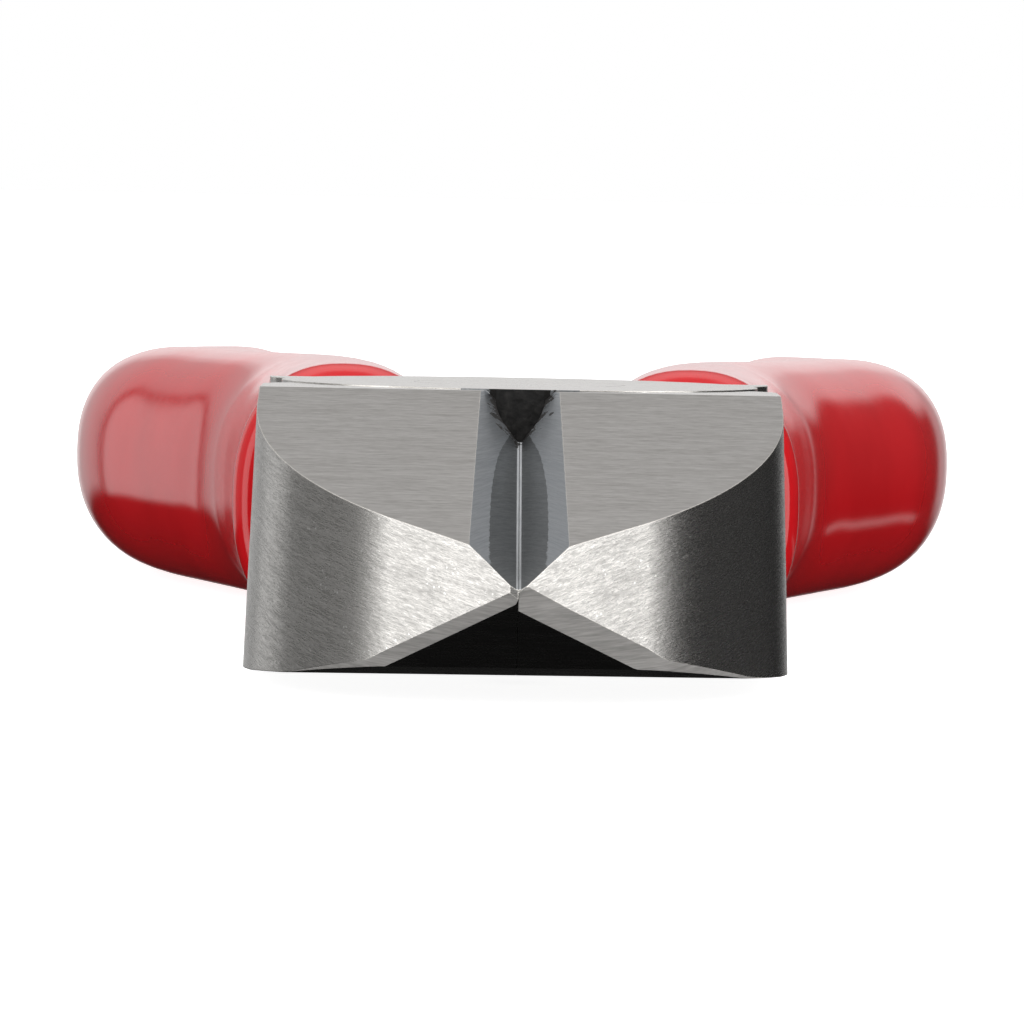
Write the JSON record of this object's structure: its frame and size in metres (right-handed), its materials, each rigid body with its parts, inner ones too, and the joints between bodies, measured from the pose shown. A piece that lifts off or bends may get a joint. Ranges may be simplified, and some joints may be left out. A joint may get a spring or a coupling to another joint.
{
  "type": "diagonal cutting pliers",
  "caption": "Hand-held diagonal cutting pliers with a ground steel lap-joint head, pointed nose and two glossy red dipped grips that open on a rivet.",
  "frame": {"origin": "on the pivot axis, at the underside of the joint, where the closed tool rests", "axes": "-Y towards the nose, +Y towards the handle ends, +Z along the pivot axis out of the upper lap disc, +X to the right seen from the nose with the upper lap on top"},
  "size_m": [0.0434, 0.16, 0.0115],
  "materials": {
    "head_steel": "belt-ground bright steel with fine straight grinding marks, lightly oiled",
    "rivet_steel": "ground flush with the joint, fine circular marks",
    "red_vinyl": "glossy dipped vinyl, slightly uneven and smooth"
  },
  "bodies": {
    "upper_lap_lever": {"forged_half_upper_lap": "head_steel", "pivot_rivet": "rivet_steel", "grip_right": "red_vinyl"},
    "lower_lap_lever": {"forged_half_lower_lap": "head_steel", "grip_left": "red_vinyl"}
  },
  "joints": [
    {"name": "pivot", "type": "hinge", "parent": "upper_lap_lever", "child": "lower_lap_lever", "pos_m": [0, 0, 0.00556], "axis": [0, 0, 1], "range_deg": [0, 35]}
  ]
}
